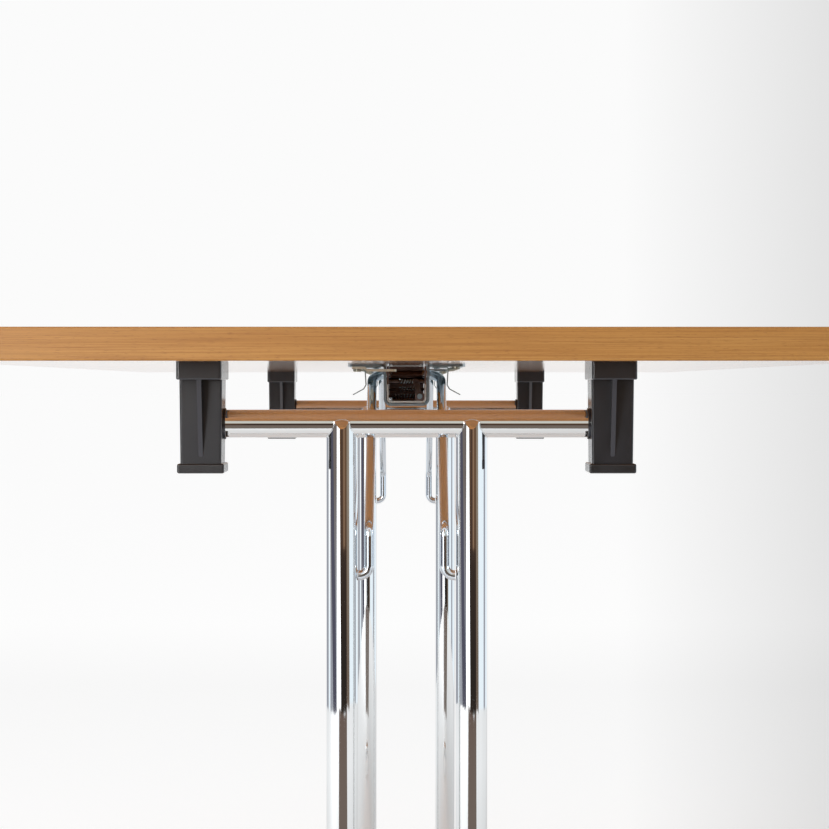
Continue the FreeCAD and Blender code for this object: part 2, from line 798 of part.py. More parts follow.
def coil_spring(start, reach, height, length, turns):
    """Spring of round wire wound about an axis along X, as one unbroken tube."""
    radius = (spring_diameter - spring_wire) / 2
    pitch = (length - spring_wire) / turns
    origin = FreeCAD.Vector(start + spring_wire / 2, reach, height)
    places = []
    ways = []
    for number in range(2 * turns + 1):
        side = (-1) ** number
        places.append(origin + x_axis * (number * pitch / 2) + z_axis * (side * radius))
        ways.append((x_axis * pitch + y_axis * (2 * math.pi * radius * side)).normalize())
    edges = []
    for number in range(2 * turns):
        edges += biarc(places[number], ways[number], places[number + 1], ways[number + 1])
    path = Part.Wire(edges)
    print("least gap between the turns of a spring:", round(least_gap(path), 2))
    circle = Part.Circle(places[0], ways[0], spring_wire / 2)
    return path.makePipeShell([Part.Wire(circle.toShape())], True, False)


def latch_springs():
    return_start = carriage_bend_radius + carriage_sheet - carriage_width / 2
    return [coil_spring(-lock_spring_length / 2, crossbar_reach - bolt_lead, bolt_height,
                        lock_spring_length, lock_spring_turns),
            coil_spring(-rod_spring_length / 2, crossbar_reach + middle_rod_lag,
                        -middle_rod_drop, rod_spring_length, rod_spring_turns),
            coil_spring(return_start, crossbar_reach + lower_rod_lag, -lower_rod_drop,
                        return_spring_length, return_spring_turns)]


def lock_bolt():
    """Right-hand bolt, drawn in until its end is flush with the carriage."""
    reach = crossbar_reach - bolt_lead
    inner = lock_spring_length / 2 + bolt_gap
    shaft = rod_between(FreeCAD.Vector(inner, reach, bolt_height),
                        FreeCAD.Vector(carriage_width / 2, reach, bolt_height), bolt_diameter)
    spigot = rod_between(FreeCAD.Vector(inner - bolt_spigot_length, reach, bolt_height),
                         FreeCAD.Vector(inner, reach, bolt_height), bolt_spigot_diameter)
    pin_start = FreeCAD.Vector(inner + bolt_pin_inset, reach, bolt_height)
    pin_length = bolt_diameter / 2 + bolt_pin_length
    pin = rod_between(pin_start, pin_start - y_axis * pin_length, bolt_pin_diameter)
    return shaft.fuse([spigot, pin])


def release_lever():
    """Upright lever on a rivet; its slot holds the bolt's pin, its tab is for a finger."""
    pin_offset = lock_spring_length / 2 + bolt_gap + bolt_pin_inset
    rise = lever_pivot_drop - bolt_drop
    lean = math.degrees(math.atan2(lever_pivot_offset - pin_offset, rise))
    arm = math.hypot(lever_pivot_offset - pin_offset, rise)
    half = lever_width / 2
    plate = box_between(-half, half, 0, lever_sheet, 0, arm)
    for height in (0, arm):
        plate = plate.fuse(rod_between(FreeCAD.Vector(0, 0, height),
                                       FreeCAD.Vector(0, lever_sheet, height), lever_width))
    finger = box_between(-half, lever_sheet - half, -lever_finger_length, lever_sheet,
                         arm / 2, arm / 2 + lever_finger_height)
    slot_width = bolt_pin_diameter + 2 * lever_slot_gap
    slot = box_between(-slot_width / 2, slot_width / 2, -cut_overrun, lever_sheet + cut_overrun,
                       arm - lever_slot_extra, arm + slot_width / 2)
    lever = plate.fuse(finger)
    rivet_hole = rod_between(FreeCAD.Vector(0, -cut_overrun, 0),
                             FreeCAD.Vector(0, lever_sheet + cut_overrun, 0),
                             lever_rivet_diameter + 2 * running_gap)
    lever = lever.cut([slot, rivet_hole]).removeSplitter()
    lever.rotate(FreeCAD.Vector(0, 0, 0), y_axis, -lean)
    lever.translate(FreeCAD.Vector(lever_pivot_offset, crossbar_reach - lever_lead,
                                   -lever_pivot_drop))
    return lever


def lever_rivet():
    front = crossbar_reach - lever_lead - running_gap
    back = crossbar_reach - lever_lead + lever_sheet + running_gap + carriage_sheet
    seat = FreeCAD.Vector(lever_pivot_offset, front, -lever_pivot_drop)
    head = rod_between(seat - y_axis * lever_rivet_head, seat, lever_rivet_head_diameter)
    shank = rod_between(seat, FreeCAD.Vector(seat.x, back, seat.z), lever_rivet_diameter)
    return head.fuse(shank)


# Tabletop

def tabletop_pieces(holes):
    """Core board, its two laminates and the edge bands, glued face to face."""
    half_length = table_length / 2
    half_width = table_width / 2
    core_length = half_length - edge_band_thickness
    core_width = half_width - edge_band_thickness
    lower = underside + laminate_thickness
    upper = table_height - laminate_thickness
    core = box_between(-core_width, core_width, -core_length, core_length, lower, upper)
    bottom = box_between(-core_width, core_width, -core_length, core_length, underside, lower)
    top = box_between(-core_width, core_width, -core_length, core_length, upper, table_height)
    save("tabletop_core", [core.cut(holes)])
    save("underside_laminate", [bottom.cut(holes)])
    save("top_laminate", [top])

    end_band = box_between(-half_width, half_width, core_length, half_length,
                           underside, table_height)
    outer = [edge for edge in end_band.Edges
             if edge.BoundBox.YMin > half_length - edge_band_thickness / 2]
    end_band = end_band.makeFillet(edge_band_rounding, outer)
    save("edge_bands_ends", [end_band, turned(end_band)])
    side_band = box_between(core_width, half_width, -core_length, core_length,
                            underside, table_height)
    outer = [edge for edge in edges_along_y(side_band)
             if edge.BoundBox.XMin > half_width - edge_band_thickness / 2]
    side_band = side_band.makeFillet(edge_band_rounding, outer)
    save("edge_bands_sides", [side_band, turned(side_band)])


# Writing the nodes

def save_leg_frame(end, place):
    tube = foot_tube()
    left_column = turned(column())
    save("cross_tube_" + end, [place(cross_tube()[1])])
    save("foot_tube_" + end, [place(tube)])
    save("foot_caps_" + end, [place(foot_cap()), place(turned(foot_cap()))])
    insert = glide_insert(tube)
    save("glide_inserts_" + end, [place(insert), place(turned(insert))])
    right, left = ("right", "left") if place is at_front else ("left", "right")
    save("column_" + end + "_" + right, [place(column())])
    save("column_" + end + "_" + left, [place(left_column)])
    for piece_name, piece in (("glide_pad_", glide_pad()), ("glide_stem_", glide_stem())):
        save(piece_name + end + "_" + right, [place(piece)])
        save(piece_name + end + "_" + left, [place(turned(piece))])


def save_mechanism(end, place, fold_angle):
    save("strut_" + end, [place(strut())])
    save("guide_rail_" + end, [place(guide_rail(fold_angle))])
    save("stop_tab_" + end, [place(stop_tab())])
    save("spring_clips_" + end, [place(spring_clip()), place(mirrored(spring_clip()))])
    save("latch_carriage_" + end, [place(latch_carriage())])
    save("spring_rods_" + end, [place(spring_rod(middle_rod_lag, middle_rod_drop)),
                                place(spring_rod(lower_rod_lag, lower_rod_drop))])
    save("latch_springs_" + end, [place(spring) for spring in latch_springs()])
    right, left = ("right", "left") if place is at_front else ("left", "right")
    save("lock_bolt_" + end + "_" + right, [place(lock_bolt())])
    save("lock_bolt_" + end + "_" + left, [place(mirrored(lock_bolt()))])
    save("release_lever_" + end, [place(release_lever())])
    save("lever_rivet_" + end, [place(lever_rivet())])


def save_blocks(end, place):
    right, left = ("right", "left") if place is at_front else ("left", "right")
    save("bearing_block_" + end + "_" + right, [place(bearing_block())])
    save("bearing_block_" + end + "_" + left, [place(turned(bearing_block()))])


os.makedirs("parts", exist_ok=True)

all_block_screws = []
all_rail_screws = []
bushes = []
pads = []
rivets = []
for end, place, fold_angle in (("front", at_front, front_fold_angle),
                               ("rear", at_rear, rear_fold_angle)):
    save_blocks(end, place)
    save_leg_frame(end, place)
    save_mechanism(end, place, fold_angle)
    for side in (lambda shape: shape, turned):
        all_block_screws += [place(side(piece)) for piece in block_screws()]
        bushes.append(place(side(axle_bush())))
        pads.append(place(side(stacking_pad())))
    all_rail_screws += [place(piece) for piece in rail_screws()]
    rivets += [place(clip_rivet()), place(mirrored(clip_rivet()))]

save("block_screws", all_block_screws)
save("rail_screws", all_rail_screws)
save("axle_bushes", bushes)
save("stacking_pads", pads)
save("clip_rivets", rivets)
tabletop_pieces(all_block_screws + all_rail_screws)
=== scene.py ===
import math

import bmesh
import bpy
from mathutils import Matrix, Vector


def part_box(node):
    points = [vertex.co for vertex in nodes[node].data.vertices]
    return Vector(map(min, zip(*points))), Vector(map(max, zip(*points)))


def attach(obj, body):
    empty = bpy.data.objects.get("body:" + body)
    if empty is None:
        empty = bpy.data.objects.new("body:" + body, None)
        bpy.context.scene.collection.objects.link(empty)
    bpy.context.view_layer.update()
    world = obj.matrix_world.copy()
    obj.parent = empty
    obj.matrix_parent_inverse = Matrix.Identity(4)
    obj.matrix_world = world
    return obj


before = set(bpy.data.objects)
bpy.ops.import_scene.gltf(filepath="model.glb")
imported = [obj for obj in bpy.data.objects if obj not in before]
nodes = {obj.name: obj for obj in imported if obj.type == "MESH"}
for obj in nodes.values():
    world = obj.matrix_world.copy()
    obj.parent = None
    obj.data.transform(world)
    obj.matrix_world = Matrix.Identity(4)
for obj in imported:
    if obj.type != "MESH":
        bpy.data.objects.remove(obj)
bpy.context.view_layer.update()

front_axle_y = sum(corner.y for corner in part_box("cross_tube_front")) / 2
ends = ("front", "rear")
sides = ("left", "right")

# Lengths are in metres throughout.

# Camera, from the vanishing point and the sizes of near and far pieces in the photograph
camera_x = -0.0016
camera_gap = 1.912
camera_height = 0.6965
camera_pitch_down = math.radians(0.67)
camera_yaw_right = math.radians(0.23)
camera_lens = 105.8
camera_nearest = 0.05
camera_furthest = 200
camera_place = (camera_x, front_axle_y - camera_gap, camera_height)

# Floor and surround: ambient_level lights the object, and backdrop_level is what is seen.
# Reflections show a share of the floor's glow near the front axle, and all of it far away.
floor_size = 600.0
floor_paint = 0.86
near_floor_in_chrome = 0.3
near_floor_reach = 0.9
far_floor_reach = 2.6
backdrop_level = 0.965
ambient_level = 0.62

# The backdrop is darker far to the right and low down, and turns back to full beyond that.
# Each pair is a stretch over which it changes, as a slope seen from the camera's place.
right_shade = 0.79
right_darkens = (0.09, 0.175)
right_clears = (0.2, 0.7)
low_shade = 0.94
low_darkens = (-0.123, -0.098)
low_clears = (-0.6, -0.25)

# Boards round the object that only glossy faces see. Chrome returns a part of their light,
# so they glow brighter by as much.
room_near = 0.85
room_depth = 3.4
room_lift = 0.002
room_near_angles = (-34, 0, 45)
room_far_angles = (-22, 0, 37)
board_gap = 0.03
board_steps = 12
board_fade = (0.1, 0.5)
bench_height = 0.35
corner_height = 0.2
wall_height = 0.70
wall_fade = (0.70, 0.96)
room_top_height = 2.0
window_height = 2.2
lintel_heights = (2.0, 3.15)
chrome_return = 0.81
board_strength = 1 / chrome_return
window_strength = 2.0

# Welds, the only pieces that the CAD leaves out
weld_radius = 0.0005
weld_ripple = 0.06
weld_corners = 8
seam_steps = 14
nearly_upright = 0.9

# Noise values between which a finish passes from one of its tones to the other
cloud_fade = (0.3, 0.7)
fibre_fade = (0.4, 0.8)
worn_fade = (0.45, 0.75)
chip_fade = (0.35, 0.65)
fibre_strength = 0.25

# Where a surface counts as a cut end or a rib's nose, by the Y or the Z of its normal
end_facing = (0.8, 0.95)
nose_upper_lean = (-0.22, -0.12)
nose_lower_lean = (-0.9, -0.7)

# Figure of the printed beech: length and width of its marks, noise values between which
# they set in, and strength
band_size = (0.5, 0.010)
band_fade = (0.35, 0.65)
streak_size = (0.10, 0.0011)
streak_fade = (0.42, 0.72)
streak_strength = 0.95
fleck_size = (0.007, 0.0006)
fleck_fade = (0.58, 0.72)
fleck_strength = 0.42
fleck_shift = (3, 5, 7)

# Marks per metre along X, Y and Z
backing_clouds = (6, 2, 6)
backing_fibres = (700, 14, 700)
chrome_haze = (60, 60, 60)
plate_clouds = (90, 90, 90)
moulding_patches = (70, 70, 45)
board_chips = (300, 300, 700)

# The crossbar darkened with painted shade: half its width and its depth below the strut's top,
# with the fades
crossbar_half_width = (0.013, 0.017)
crossbar_depth = (0.012, 0.010)
crossbar_shade_roughness = 0.3

# How far behind the carriage's front edge its lit rim turns to painted shade
lit_rim = (0.003, 0.0006)
shaded_metallic = 0.1


# Materials

class Nodes:
    """Short calls for the nodes of one tree."""

    def __init__(self, tree):
        self.tree = tree

    def add(self, kind, **inputs):
        node = self.tree.nodes.new(kind)
        for name, value in inputs.items():
            self.feed(node.inputs[name.replace("_", " ")], value)
        return node

    def feed(self, socket, value):
        if isinstance(value, bpy.types.NodeSocket):
            self.tree.links.new(value, socket)
        else:
            socket.default_value = value

    def compute(self, operation, *values, kind="ShaderNodeMath"):
        node = self.add(kind)
        node.operation = operation
        for socket, value in zip(node.inputs, values):
            self.feed(socket, value)
        return node.outputs

    def number(self, operation, *values):
        """The result of a Math node."""
        return self.compute(operation, *values)["Value"]

    def between(self, value, low, high, out_low=0.0, out_high=1.0):
        """out_low up to low, out_high from high on, and evenly between the two."""
        return self.add("ShaderNodeMapRange", Value=value, From_Min=low, From_Max=high,
                        To_Min=out_low, To_Max=out_high).outputs["Result"]

    def split(self, vector):
        """The X, Y and Z of a vector."""
        return self.add("ShaderNodeSeparateXYZ", Vector=vector).outputs


class Surface(Nodes):
    """A material with a Principled shader, and short calls for the nodes before it."""

    def __init__(self, name, **sockets):
        self.material = bpy.data.materials.new(name)
        self.material.use_nodes = True
        super().__init__(self.material.node_tree)
        self.shader = self.tree.nodes["Principled BSDF"]
        self.place = self.add("ShaderNodeTexCoord").outputs["Object"]
        for socket, value in sockets.items():
            self.set(socket.replace("_", " "), value)

    def set(self, socket, value):
        self.feed(self.shader.inputs[socket], value)

    def show(self, shader):
        """Puts another shader in the place of the Principled one."""
        self.tree.nodes.remove(self.shader)
        self.feed(self.tree.nodes["Material Output"].inputs["Surface"], shader.outputs[0])

    def noise(self, per_metre, shift=(0, 0, 0), detail=2.0, roughness=0.5, distortion=0.0):
        """Noise in object coordinates, with so many marks a metre along each axis."""
        place = self.add("ShaderNodeMapping", Vector=self.place, Scale=per_metre,
                         Location=shift).outputs["Vector"]
        return self.add("ShaderNodeTexNoise", Vector=place, Scale=1.0, Detail=detail,
                        Roughness=roughness, Distortion=distortion).outputs["Fac"]

    def mix(self, factor, first, second, blend="MIX"):
        node = self.add("ShaderNodeMix")
        node.data_type = "RGBA"
        node.blend_type = blend
        self.feed(node.inputs["Factor"], factor)
        self.feed(node.inputs["A"], first)
        self.feed(node.inputs["B"], second)
        return node.outputs["Result"]

    def along(self, axis):
        """One object coordinate."""
        return self.split(self.place)[axis]

    def from_middle(self, axis):
        """One object coordinate without its sign."""
        return self.number("ABSOLUTE", self.along(axis))

    def normal(self, axis):
        """One part of the object's normal."""
        return self.split(self.add("ShaderNodeTexCoord").outputs["Normal"])[axis]

    def facing_end(self):
        """1 on faces that look along the table, as a rail's cut ends do, and 0 elsewhere."""
        return self.between(self.number("ABSOLUTE", self.normal("Y")), *end_facing)

    def leaning_down(self):
        """1 on faces that lean a little downward, as the ribs' noses do, and 0 elsewhere."""
        height = self.normal("Z")
        return self.number("MULTIPLY", self.between(height, *nose_upper_lean, 1.0, 0.0),
                           self.between(height, *nose_lower_lean))

    def uneven(self, cloud, roughness, least=0.85, most=1.15):
        """Roughness that wanders with a noise, between these parts of its value."""
        self.set("Roughness",
                 self.between(cloud, *cloud_fade, roughness * least, roughness * most))

    def plate(self, light, dark, roughness):
        """Sets a cloudy metal finish and returns its colour."""
        cloud = self.noise(plate_clouds, detail=4.0)
        tone = self.mix(self.between(cloud, *cloud_fade), light, dark)
        self.set("Base Color", tone)
        self.uneven(cloud, roughness)
        return tone

    def bump(self, height, strength, distance):
        node = self.add("ShaderNodeBump", Height=height, Strength=strength, Distance=distance)
        self.set("Normal", node.outputs["Normal"])


def rgb(red, green, blue):
    """A colour read from the photograph in 0 to 255, as the linear values a shader takes."""
    def linear(value):
        value /= 255
        return value / 12.92 if value <= 0.04045 else ((value + 0.055) / 1.055) ** 2.4
    return (linear(red), linear(green), linear(blue), 1.0)


def beech(name, along_x, roughness, coat, coat_roughness):
    """Printed beech: long soft bands, fine streaks and the short dark flecks of its rays."""
    surface = Surface(name, Roughness=roughness, Coat_Weight=coat,
                      Coat_Roughness=coat_roughness)
    pale, middle, dark = rgb(181, 128, 58), rgb(172, 117, 47), rgb(148, 93, 30)

    def marks(size, **noise):
        length, width = size
        along, across = 1 / length, 1 / width
        per_metre = (along, across, across) if along_x else (across, along, across)
        return surface.noise(per_metre, **noise)

    bands = marks(band_size, detail=3.0, distortion=0.4)
    streaks = marks(streak_size, detail=4.0, roughness=0.6)
    flecks = marks(fleck_size, shift=fleck_shift)
    tone = surface.mix(surface.between(bands, *band_fade), pale, middle)
    streak = surface.between(streaks, *streak_fade, 0.0, streak_strength)
    tone = surface.mix(streak, tone, dark)
    fleck = surface.between(flecks, *fleck_fade, 0.0, fleck_strength)
    surface.set("Base Color", surface.mix(fleck, tone, dark, "MULTIPLY"))
    return surface.material


def backing(name):
    """Smooth backing laminate under the top, which mirrors at a grazing view."""
    surface = Surface(name, Roughness=0.3, Coat_Weight=1.0, Coat_Roughness=0.08, Coat_IOR=1.5)
    cloud = surface.noise(backing_clouds, detail=3.0)
    fibres = surface.noise(backing_fibres, detail=3.0)
    tone = surface.mix(surface.between(cloud, *cloud_fade),
                       rgb(223, 152, 84), rgb(214, 142, 74))
    fibre = surface.between(fibres, *fibre_fade, 0.0, fibre_strength)
    surface.set("Base Color", surface.mix(fibre, tone, rgb(190, 121, 60)))
    return surface.material


def chrome(name, tint, roughness):
    """Bright chrome with a faint haze."""
    surface = Surface(name, Metallic=1.0, Base_Color=tint)
    haze = surface.noise(chrome_haze, detail=4.0)
    surface.uneven(haze, roughness, least=0.7, most=1.4)
    return surface.material


def chrome_with_shaded_crossbar(name, tint, crossbar_shade, roughness):
    """Chrome rod with painted shade darkening the crossbar that the latch grips."""
    surface = Surface(name, Metallic=1.0)
    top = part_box("strut_front")[1].z
    # Painted shade: the crossbar inside the carriage is darker and rougher.
    across = surface.between(surface.from_middle("X"), *crossbar_half_width, 1.0, 0.0)
    high = surface.between(surface.along("Z"), *[top - depth for depth in crossbar_depth])
    crossbar_shaded = surface.number("MULTIPLY", across, high)
    surface.set("Base Color", surface.mix(crossbar_shaded, tint, crossbar_shade))
    surface.set("Roughness", surface.between(crossbar_shaded, 0.0, 1.0, roughness, crossbar_shade_roughness))
    return surface.material


def plated(name, light, dark, roughness, sheared=None):
    """Zinc-plated or bare steel with a faint cloudy finish, duller where it was cut."""
    surface = Surface(name, Metallic=1.0)
    tone = surface.plate(light, dark, roughness)
    if sheared:
        surface.set("Base Color", surface.mix(surface.facing_end(), tone, sheared))
    return surface.material


def channel_with_painted_shade(name, light, dark, shade_inside, roughness):
    """Plated sheet whose faces behind the front edge are darkened with painted shade."""
    surface = Surface(name, Metallic=1.0)
    tone = surface.plate(light, dark, roughness)
    nose = abs(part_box("latch_carriage_front")[0].y)
    # Painted shade: behind the rim, the channel's faces turn dark and nearly non-metallic.
    channel_shaded = surface.between(surface.from_middle("Y"), *[nose - rim for rim in lit_rim],
                           1.0, 0.0)
    surface.set("Base Color", surface.mix(channel_shaded, tone, shade_inside))
    surface.set("Metallic", surface.between(channel_shaded, 0.0, 1.0, 1.0, shaded_metallic))
    return surface.material


def moulded(name, tone, worn, painted_highlight, roughness, grain_size, grain_depth, coat=0.0):
    """Moulded plastic or rubber: spark-eroded grain, paler in patches, with a painted highlight
    on faces that lean a little down, as the ribs' noses do.
    """
    surface = Surface(name, Coat_Weight=coat, Coat_Roughness=0.12)
    grain = surface.noise((1 / grain_size,) * 3, detail=3.0, roughness=0.6)
    patches = surface.noise(moulding_patches, detail=4.0)
    mottled = surface.mix(surface.between(patches, *worn_fade), tone, worn)
    # Painted highlight: faces that lean a little down, such as the ribs' noses, take a paler
    # colour.
    surface.set("Base Color", surface.mix(surface.leaning_down(), mottled, painted_highlight))
    surface.uneven(patches, roughness)
    surface.bump(grain, strength=0.25, distance=grain_depth)
    return surface.material


def chipboard(name):
    """Pressed chips, which show only where the core isn't covered."""
    surface = Surface(name, Roughness=0.9)
    chips = surface.noise(board_chips, detail=6.0, roughness=0.75)
    surface.set("Base Color", surface.mix(surface.between(chips, *chip_fade),
                                          rgb(176, 140, 98), rgb(122, 88, 55)))
    surface.bump(chips, strength=0.4, distance=0.0006)
    return surface.material


# The first eleven are named as the slots of the CAD nodes are
materials = {
    "edge_band": beech("beech_side_band", False, roughness=0.5, coat=0.05, coat_roughness=0.2),
    "wood_decor": beech("beech_laminate", False, roughness=0.34, coat=0.2, coat_roughness=0.25),
    "board_core": chipboard("pressed_chipboard"),
    "chrome": chrome("bright_chrome", (0.80, 0.82, 0.83, 1), roughness=0.03),
    "zinc_steel": plated("zinc_plate", rgb(206, 217, 222), rgb(190, 202, 208), roughness=0.40,
                         sheared=rgb(128, 142, 150)),
    "spring_steel": plated("spring_steel", rgb(160, 172, 174), rgb(134, 148, 151),
                           roughness=0.28),
    "screw_steel": plated("passivated_screw", rgb(166, 164, 150), rgb(140, 138, 124),
                          roughness=0.34),
    "dark_steel": plated("oiled_steel", rgb(92, 80, 76), rgb(64, 55, 53), roughness=0.36),
    # The last colour given to each moulding is a painted highlight on faces that lean a little
    # down, such as the ribs' noses.
    "black_plastic": moulded("black_moulding", tone=rgb(6, 10, 21), worn=rgb(10, 14, 26),
                             painted_highlight=rgb(56, 58, 66), roughness=0.45, grain_size=0.0006,
                             grain_depth=0.00004, coat=0.75),
    "pad_rubber": moulded("pad_rubber", tone=rgb(8, 10, 17), worn=rgb(16, 18, 25),
                          painted_highlight=rgb(30, 31, 35), roughness=0.45, grain_size=0.0009,
                          grain_depth=0.0002, coat=0.75),
    "glide_plastic": moulded("glide_plastic", tone=rgb(42, 42, 43), worn=rgb(60, 60, 61),
                             painted_highlight=rgb(60, 60, 61), roughness=0.4, grain_size=0.0008,
                             grain_depth=0.00008),
    "end_band": beech("beech_end_band", True, roughness=0.5, coat=0.05, coat_roughness=0.2),
    "backing": backing("underside_laminate"),
    # The strut's second colour is painted shade on its crossbar.
    "strut": chrome_with_shaded_crossbar("chrome_with_shaded_crossbar", (0.68, 0.74, 0.80, 1), crossbar_shade=rgb(70, 52, 46),
                            roughness=0.08),
    "stop_tab": plated("yellow_zinc", rgb(228, 226, 210), rgb(212, 210, 192), roughness=0.42),
    # The carriage's inside colour is painted shade.
    "carriage": channel_with_painted_shade("zinc_channel_painted_shade", rgb(200, 204, 204), rgb(182, 186, 186),
                              shade_inside=rgb(112, 88, 80), roughness=0.34),
}


def dress(node, name):
    """Gives a CAD node its material in every slot."""
    for slot in nodes[node].material_slots:
        slot.material = materials[name]


for node, shape in nodes.items():
    dress(node, shape.material_slots[0].name)
dress("edge_bands_ends", "end_band")
dress("underside_laminate", "backing")
for end in ends:
    dress("stop_tab_" + end, "stop_tab")
    dress("latch_carriage_" + end, "carriage")
    dress("strut_" + end, "strut")


def new_object(name, data):
    thing = bpy.data.objects.new(name, data)
    bpy.context.scene.collection.objects.link(thing)
    return thing


# Welds between the columns and the cross tubes

def seam_points(column_radius, tube_radius, rise):
    """Right half of the seam on one face, from the crown of the saddle down and round.

    X is counted from the column's axis, Z from the tube's axis, and Y from both.
    """
    edge = math.sqrt(column_radius ** 2 - tube_radius ** 2)
    drop = (column_radius ** 2 + tube_radius ** 2 - rise ** 2) / (2 * (rise + tube_radius))
    points = []
    for number in range(seam_steps + 1):
        x = edge * number / seam_steps
        z = math.sqrt((rise + drop) ** 2 - x ** 2) - drop
        points.append(Vector((x, math.sqrt(tube_radius ** 2 - z ** 2), z)))
    points.append(Vector((edge, tube_radius, 0)))
    for number in range(1, seam_steps + 1):
        x = edge + (column_radius - edge) * math.sin(math.pi / 2 * number / seam_steps)
        z = -math.sqrt(x ** 2 - edge ** 2)
        points.append(Vector((x, math.sqrt(max(column_radius ** 2 - x ** 2, 0)), z)))
    return points


def bead_mesh(name, points):
    """Round bead along a line, a little thicker and thinner by turns as a weld is."""
    mesh = bmesh.new()
    turns = [2 * math.pi * corner / weld_corners for corner in range(weld_corners)]
    rings = []
    for number, point in enumerate(points):
        before = points[max(number - 1, 0)]
        after = points[min(number + 1, len(points) - 1)]
        along = (after - before).normalized()
        out = along.cross(Vector((0, 0, 1)) if abs(along.z) < nearly_upright
                          else Vector((1, 0, 0)))
        out.normalize()
        up = along.cross(out)
        radius = weld_radius * (1 + weld_ripple * (-1) ** number)
        rings.append([
            mesh.verts.new(point + (out * math.cos(turn) + up * math.sin(turn)) * radius)
            for turn in turns])
    for ring, following in zip(rings, rings[1:]):
        for corner in range(weld_corners):
            after = (corner + 1) % weld_corners
            mesh.faces.new((ring[corner], ring[after], following[after], following[corner]))
    mesh.faces.new(rings[0])
    mesh.faces.new(rings[-1])
    bmesh.ops.recalc_face_normals(mesh, faces=mesh.faces)
    for face in mesh.faces:
        face.smooth = True
    data = bpy.data.meshes.new(name)
    mesh.to_mesh(data)
    mesh.free()
    return data


def weld(end, side, facing):
    """Bead on one face of a column's saddle."""
    low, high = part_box("column_%s_%s" % (end, side))
    tube_low, tube_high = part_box("cross_tube_" + end)
    axis = (tube_low + tube_high) / 2
    column_radius = (high.x - low.x) / 2
    tube_radius = (tube_high.z - tube_low.z) / 2
    half = seam_points(column_radius, tube_radius, high.z - axis.z)
    line = [Vector((-p.x, p.y, p.z)) for p in reversed(half[1:])] + half
    middle = Vector(((low.x + high.x) / 2, axis.y, axis.z))
    places = [middle + Vector((p.x, facing * p.y, p.z)) for p in line]
    name = "weld_%s_%s_%s" % (end, side, "near" if facing < 0 else "far")
    bead = new_object(name, bead_mesh(name, places))
    bead.data.materials.append(materials["chrome"])
    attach(bead, "leg_" + end)


for end in ends:
    for side in sides:
        for facing in (-1, 1):
            weld(end, side, facing)


# Stage: a pale floor, a white surround and boards that only reflections see

def backdrop_shade(tree, direction):
    """Tone of the backdrop in a direction from the camera's place, and 1 behind that place."""
    x, y, z = tree.split(direction)
    across = tree.number("DIVIDE", x, y)
    down = tree.number("DIVIDE", z, y)
    right = tree.number("MAXIMUM", tree.between(across, *right_darkens, 1.0, right_shade),
                        tree.between(across, *right_clears, right_shade, 1.0))
    low = tree.number("MAXIMUM", tree.between(down, *low_darkens, low_shade, 1.0),
                      tree.between(down, *low_clears, 1.0, low_shade))
    behind = tree.number("LESS_THAN", y, 0.0)
    return tree.number("MAXIMUM", tree.number("MULTIPLY", right, low), behind)


def seen_rays(tree, reflected):
    """1 for rays of the camera and for those sent through, a share for reflected ones."""
    path = tree.add("ShaderNodeLightPath")
    glossy = tree.number("MULTIPLY", path.outputs["Is Glossy Ray"], reflected)
    seen = tree.number("MAXIMUM", path.outputs["Is Camera Ray"], glossy)
    return tree.number("MAXIMUM", seen, path.outputs["Is Transmission Ray"])


def pale_floor():
    """Floor that takes the object's shadow and glows up to the backdrop's tone."""
    half = floor_size / 2
    mesh = bpy.data.meshes.new("floor")
    mesh.from_pydata([(-half, -half, 0), (half, -half, 0), (half, half, 0), (-half, half, 0)],
                     [], [(0, 1, 2, 3)])
    floor = new_object("floor", mesh)
    surface = Surface("pale_floor")
    place = surface.add("ShaderNodeNewGeometry").outputs
    from_camera = surface.compute("SUBTRACT", place["Position"], camera_place,
                                  kind="ShaderNodeVectorMath")["Vector"]
    from_axle = surface.compute("DISTANCE", place["Position"], (0, front_axle_y, 0),
                                kind="ShaderNodeVectorMath")["Value"]
    level = surface.number("MULTIPLY", backdrop_shade(surface, from_camera), backdrop_level)
    missing = surface.number("SUBTRACT", level, floor_paint * ambient_level)
    reflected = surface.between(from_axle, near_floor_reach, far_floor_reach,
                                near_floor_in_chrome, 1.0)
    strength = surface.number("MULTIPLY", missing, seen_rays(surface, reflected))
    matt = surface.add("ShaderNodeBsdfDiffuse", Color=(floor_paint,) * 3 + (1,))
    glow = surface.add("ShaderNodeEmission", Strength=strength)
    both = surface.add("ShaderNodeAddShader")
    clear_from_below = surface.add("ShaderNodeMixShader", Fac=place["Backfacing"])
    clear = surface.add("ShaderNodeBsdfTransparent")
    for socket, shader in ((both.inputs[0], matt), (both.inputs[1], glow),
                           (clear_from_below.inputs[1], both),
                           (clear_from_below.inputs[2], clear)):
        surface.feed(socket, shader.outputs[0])
    surface.show(clear_from_below)
    mesh.materials.append(surface.material)


def white_surround():
    """World that lights the object plainly and shows the backdrop."""
    world = bpy.data.worlds.new("surround")
    bpy.context.scene.world = world
    world.use_nodes = True
    tree = Nodes(world.node_tree)
    sky = world.node_tree.nodes["Background"]
    sky.inputs["Color"].default_value = (1, 1, 1, 1)
    direction = tree.add("ShaderNodeTexCoord").outputs["Generated"]
    from_camera = tree.add("ShaderNodeLightPath").outputs["Is Camera Ray"]
    shade = tree.number("MULTIPLY", backdrop_shade(tree, direction), backdrop_level)
    darker = tree.number("MULTIPLY", from_camera,
                         tree.number("SUBTRACT", shade, backdrop_level))
    seen = tree.number("MULTIPLY", seen_rays(tree, 1.0), backdrop_level - ambient_level)
    level = tree.number("ADD", seen, darker)
    tree.feed(sky.inputs["Strength"], tree.number("ADD", level, ambient_level))


